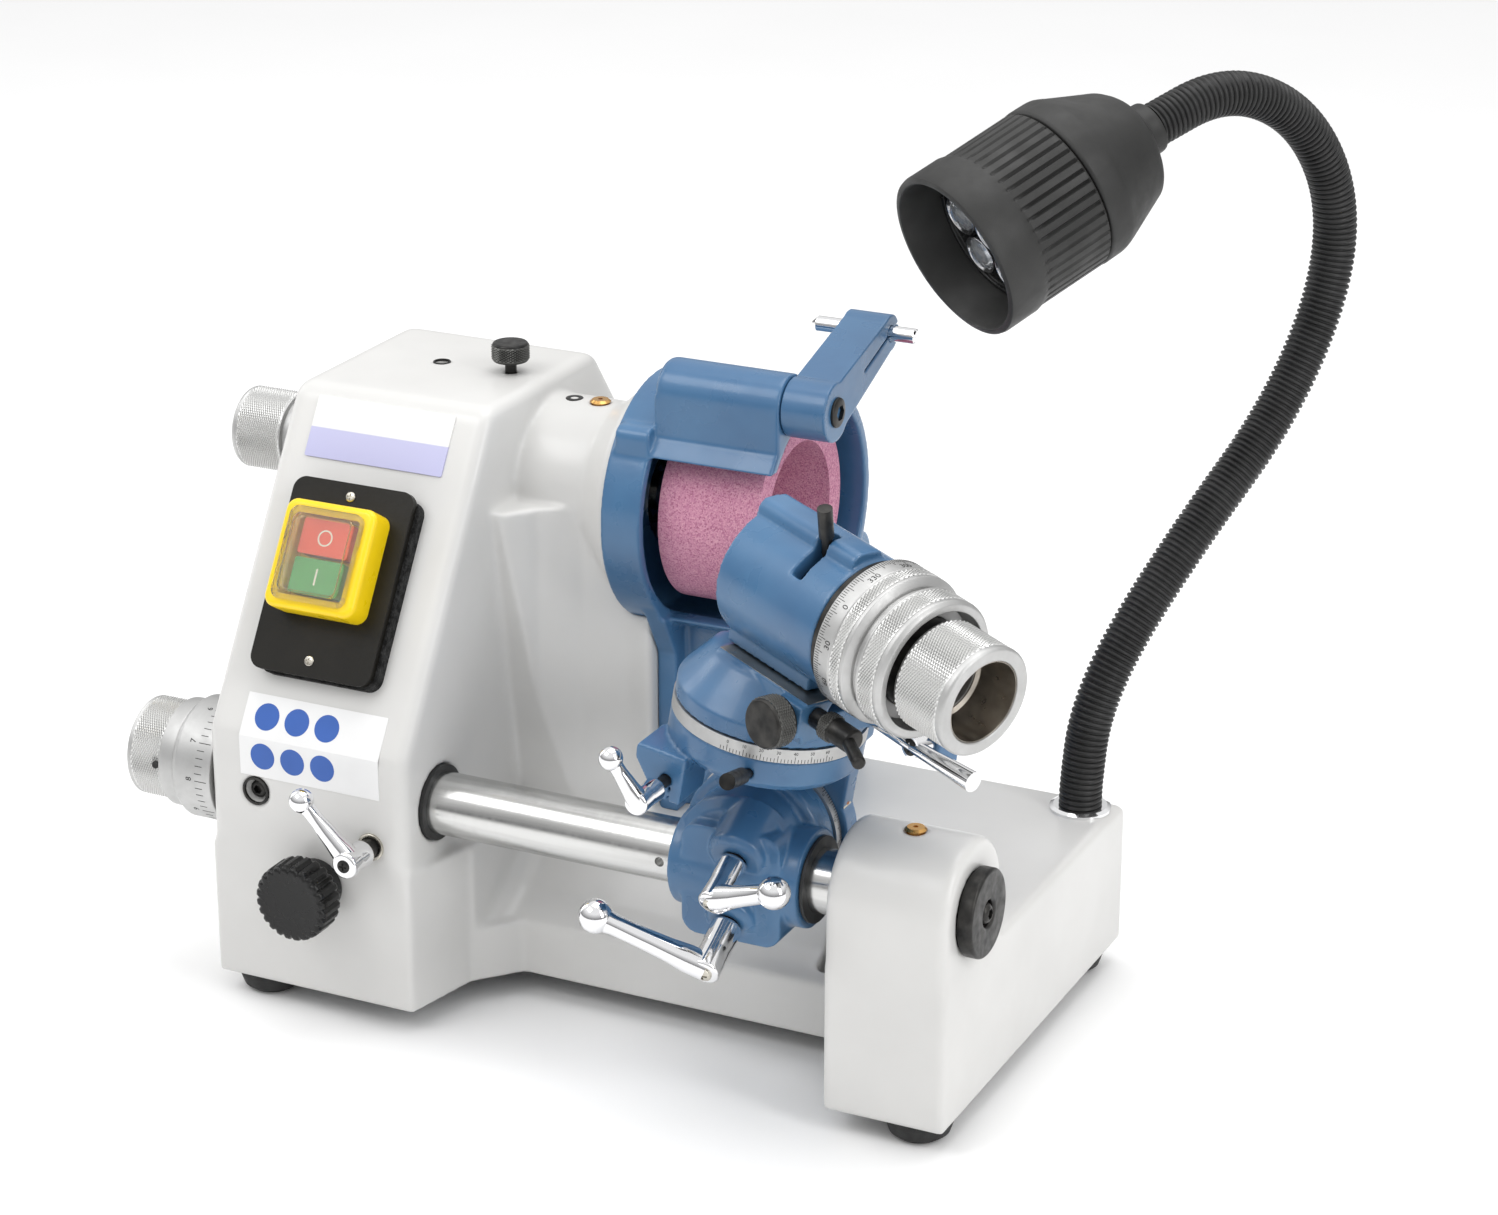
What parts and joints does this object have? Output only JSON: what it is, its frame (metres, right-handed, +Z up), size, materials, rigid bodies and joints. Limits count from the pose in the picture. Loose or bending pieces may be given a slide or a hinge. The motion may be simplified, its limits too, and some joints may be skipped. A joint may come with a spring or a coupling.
{
  "type": "tool grinder",
  "caption": "Bench tool grinder with a guarded cup wheel, a swivelling index head on a guide bar and a lamp on a bending neck.",
  "frame": {"origin": "middle of the whole outline on the bench, at rest", "axes": "+X along the guide bar, from the dials to the pedestal; +Y to the machine's back; +Z up"},
  "size_m": [0.5464, 0.4186, 0.4688],
  "materials": {
    "body_paint": "light grey enamel over cast iron, slightly wavy",
    "blue_enamel": "glossy blue enamel over cast iron",
    "cover_steel": "grey painted sheet steel",
    "foot_rubber": "matt black rubber",
    "bush_bronze": "blackened bearing bronze",
    "brass": "bright brass",
    "black_plastic": "textured black plastic",
    "foam": "coarse black foam",
    "yellow_plastic": "semi-gloss yellow plastic",
    "clear_cover": "clear and smooth",
    "red_plastic": "semi-gloss red plastic",
    "green_plastic": "semi-gloss green plastic",
    "plate_print": "printed aluminium plate, no lettering",
    "ground_steel": "ground and lightly polished steel",
    "bearing_steel": "polished bearing steel",
    "pulley_alloy": "turned aluminium",
    "belt_rubber": "flat drive belt",
    "abrasive": "vitrified pink aluminium oxide, open grain",
    "satin_alloy": "satin chrome with knurled bands",
    "chrome": "bright chrome",
    "black_oxide": "black oxide steel",
    "neck_sleeve": "black ribbed sleeve over a self-holding steel core"
  },
  "bodies": {
    "base": {"base_casting": "body_paint", "bottom_cover": "cover_steel", "rubber_feet": "foot_rubber", "wheel_guard": "blue_enamel", "bar_bushes": "bush_bronze", "oil_cups": "brass", "cable_inlet": "black_plastic", "switch_gasket": "foam", "switch_plate": "black_plastic", "switch_housing": "yellow_plastic", "switch_membrane": "clear_cover", "name_plate": "plate_print", "lamp_socket": "ground_steel", "motor": "cover_steel", "drive_belt": "belt_rubber"},
    "quill": {"quill": "ground_steel", "spindle_bearings": "bearing_steel"},
    "spindle": {"spindle_shaft": "ground_steel", "spindle_pulley": "pulley_alloy", "grinding_wheel": "abrasive", "wheel_flange": "ground_steel"},
    "rotor": {"motor_rotor": "ground_steel"},
    "upper_dial": {"upper_dial_grip": "satin_alloy", "upper_dial_ring": "satin_alloy"},
    "lower_dial": {"lower_dial_grip": "satin_alloy", "lower_dial_ring": "satin_alloy"},
    "bar": {"guide_bar": "ground_steel", "bar_end_cap": "black_oxide"},
    "slider": {"clamp_bush": "ground_steel"},
    "block": {"clamp_block": "blue_enamel", "tilt_scale_ring": "satin_alloy"},
    "tilt_lever": {"tilt_lock_lever": "chrome"},
    "bar_lever": {"bar_lock_lever": "chrome"},
    "bracket": {"tilt_bracket": "blue_enamel", "swivel_scale_ring": "satin_alloy"},
    "swivel_lever": {"swivel_lock_lever": "chrome"},
    "swivel_pin": {"swivel_pin": "black_oxide"},
    "turntable": {"turntable": "blue_enamel"},
    "feed_knob": {"feed_knob": "black_oxide"},
    "stop_screw": {"stop_screw": "black_oxide"},
    "slide_lever": {"slide_lock_lever": "chrome"},
    "head": {"head_body": "blue_enamel"},
    "index_lever": {"index_lever": "black_oxide"},
    "work_spindle": {"work_spindle": "black_oxide", "collet": "ground_steel"},
    "index_dial": {"index_dial": "satin_alloy"},
    "draw_sleeve": {"draw_sleeve": "satin_alloy"},
    "dresser_arm": {"dresser_arm": "blue_enamel"},
    "dresser_pin": {"dresser_pin": "ground_steel"},
    "tower_lever": {"tower_lock_lever": "chrome"},
    "fluted_knob": {"fluted_knob": "black_plastic"},
    "thumb_screw": {"thumb_screw": "black_oxide"},
    "stop_button": {"stop_button": "red_plastic"},
    "start_button": {"start_button": "green_plastic"},
    "neck_lower": {"neck_lower": "neck_sleeve"},
    "neck_middle": {"neck_middle": "neck_sleeve"},
    "neck_upper": {"neck_upper": "neck_sleeve"},
    "lamp": {"lamp_housing": "black_plastic", "lamp_barrel": "black_plastic", "lamp_lens": "clear_cover"}
  },
  "joints": [
    {"name": "quill_feed", "type": "slide", "parent": "base", "child": "quill", "axis": [1, 0, 0], "range_m": [-0.002, 0.003]},
    {"name": "spindle_spin", "type": "hinge", "parent": "quill", "child": "spindle", "pos_m": [0.00077, 0.00451, 0.252], "axis": [1, 0, 0], "continuous": true},
    {"name": "rotor_spin", "type": "hinge", "parent": "base", "child": "rotor", "pos_m": [-0.12123, -0.00349, 0.08], "axis": [1, 0, 0], "continuous": true},
    {"name": "upper_dial_turn", "type": "hinge", "parent": "base", "child": "upper_dial", "pos_m": [-0.24923, 0.00451, 0.252], "axis": [1, 0, 0], "range_deg": [-360, 540]},
    {"name": "bar_feed", "type": "slide", "parent": "base", "child": "bar", "axis": [1, 0, 0], "range_m": [0, 0.006]},
    {"name": "lower_dial_turn", "type": "hinge", "parent": "base", "child": "lower_dial", "pos_m": [-0.24923, -0.12049, 0.1165], "axis": [1, 0, 0], "range_deg": [0, 1080]},
    {"name": "slider_slide", "type": "slide", "parent": "bar", "child": "slider", "axis": [1, 0, 0], "range_m": [-0.105, 0.008]},
    {"name": "block_swing", "type": "hinge", "parent": "slider", "child": "block", "pos_m": [0.08577, -0.12049, 0.1165], "axis": [1, 0, 0], "range_deg": [-4, 12]},
    {"name": "tilt_lever_turn", "type": "hinge", "parent": "block", "child": "tilt_lever", "pos_m": [0.08877, -0.14549, 0.132], "axis": [0, -0.891, -0.454], "range_deg": [-20, 60]},
    {"name": "bar_lever_turn", "type": "hinge", "parent": "block", "child": "bar_lever", "pos_m": [0.08527, -0.14549, 0.098], "axis": [0, -0.891, -0.454], "range_deg": [-50, 20]},
    {"name": "head_tilt", "type": "hinge", "parent": "block", "child": "bracket", "pos_m": [0.08077, -0.09349, 0.125], "axis": [0, 1, 0], "range_deg": [-20, 12]},
    {"name": "swivel_lever_turn", "type": "hinge", "parent": "bracket", "child": "swivel_lever", "pos_m": [0.06377, -0.18049, 0.177], "axis": [0, -1, 0], "range_deg": [-60, 20]},
    {"name": "swivel_pin_turn", "type": "hinge", "parent": "bracket", "child": "swivel_pin", "pos_m": [0.10718, -0.17089, 0.18899], "axis": [0.1013, -0.9621, 0.2532], "range_deg": [-180, 180]},
    {"name": "head_turn", "type": "hinge", "parent": "bracket", "child": "turntable", "pos_m": [0.09797, -0.12549, 0.20584], "axis": [0.1736, 0, 0.9848], "range_deg": [-12, 38]},
    {"name": "feed_knob_turn", "type": "hinge", "parent": "turntable", "child": "feed_knob", "pos_m": [0.12897, -0.16991, 0.22119], "axis": [-0.3848, -0.9205, 0.0678], "range_deg": [-180, 180]},
    {"name": "stop_screw_turn", "type": "hinge", "parent": "turntable", "child": "stop_screw", "pos_m": [0.13865, -0.16528, 0.22101], "axis": [0.9065, -0.3907, -0.1598], "range_deg": [-20, 20]},
    {"name": "slide_lever_turn", "type": "hinge", "parent": "turntable", "child": "slide_lever", "pos_m": [0.17931, -0.12978, 0.20216], "axis": [-0.3848, -0.9205, 0.0678], "range_deg": [-8, 8]},
    {"name": "head_slide", "type": "slide", "parent": "turntable", "child": "head", "axis": [0.9065, -0.3907, -0.1598], "range_m": [-0.004, 0.006]},
    {"name": "index_lever_swing", "type": "hinge", "parent": "head", "child": "index_lever", "pos_m": [0.109, -0.12549, 0.26838], "axis": [0.9065, -0.3907, -0.1598], "range_deg": [-2, 26]},
    {"name": "work_spindle_spin", "type": "hinge", "parent": "head", "child": "work_spindle", "pos_m": [0.109, -0.12549, 0.26838], "axis": [0.9065, -0.3907, -0.1598], "continuous": true},
    {"name": "index_dial_turn", "type": "hinge", "parent": "work_spindle", "child": "index_dial", "pos_m": [0.109, -0.12549, 0.26838], "axis": [0.9065, -0.3907, -0.1598], "continuous": true},
    {"name": "draw_sleeve_turn", "type": "hinge", "parent": "work_spindle", "child": "draw_sleeve", "pos_m": [0.109, -0.12549, 0.26838], "axis": [0.9065, -0.3907, -0.1598], "range_deg": [0, 540]},
    {"name": "dresser_swing", "type": "hinge", "parent": "base", "child": "dresser_arm", "pos_m": [0.07077, -0.02549, 0.3186], "axis": [1, 0, 0], "range_deg": [-25, 45]},
    {"name": "dresser_feed", "type": "slide", "parent": "dresser_arm", "child": "dresser_pin", "axis": [1, 0, 0], "range_m": [-0.006, 0.01]},
    {"name": "tower_lever_turn", "type": "hinge", "parent": "base", "child": "tower_lever", "pos_m": [-0.11023, -0.16049, 0.101], "axis": [0, -1, 0], "range_deg": [-30, 40]},
    {"name": "fluted_knob_turn", "type": "hinge", "parent": "base", "child": "fluted_knob", "pos_m": [-0.14123, -0.17349, 0.075], "axis": [0, -1, 0], "range_deg": [-360, 360]},
    {"name": "thumb_screw_turn", "type": "hinge", "parent": "base", "child": "thumb_screw", "pos_m": [-0.11323, 0.00451, 0.308], "axis": [0, 0, 1], "range_deg": [-360, 360]},
    {"name": "stop_press", "type": "slide", "parent": "base", "child": "stop_button", "axis": [0, 0.8517, -0.5241], "range_m": [0, 0.0025], "stiffness_N_per_m": 400, "springref_m": -0.001},
    {"name": "start_press", "type": "slide", "parent": "base", "child": "start_button", "axis": [0, 0.8517, -0.5241], "range_m": [0, 0.0025], "stiffness_N_per_m": 400, "springref_m": -0.001},
    {"name": "neck_base_bend", "type": "hinge", "parent": "base", "child": "neck_lower", "pos_m": [0.18177, 0.07051, 0.103], "axis": [-0.8462, 0.5329, 0], "range_deg": [-6, 8]},
    {"name": "neck_middle_bend", "type": "hinge", "parent": "neck_lower", "child": "neck_middle", "pos_m": [0.21694, 0.12636, 0.228], "axis": [-0.8462, 0.5329, 0], "range_deg": [-6, 10]},
    {"name": "neck_upper_bend", "type": "hinge", "parent": "neck_middle", "child": "neck_upper", "pos_m": [0.26223, 0.19828, 0.398], "axis": [-0.8462, 0.5329, 0], "range_deg": [-6, 12]},
    {"name": "lamp_tilt", "type": "hinge", "parent": "neck_upper", "child": "lamp", "pos_m": [0.19456, 0.09082, 0.444], "axis": [-0.8462, 0.5329, 0], "range_deg": [-8, 12]}
  ],
  "couplings": [
    {"joint": "upper_dial_turn", "follows": "quill_feed", "rad_per_m": 3141.6},
    {"joint": "lower_dial_turn", "follows": "bar_feed", "rad_per_m": 3141.6},
    {"joint": "rotor_spin", "follows": "spindle_spin", "ratio": 0.55882}
  ]
}
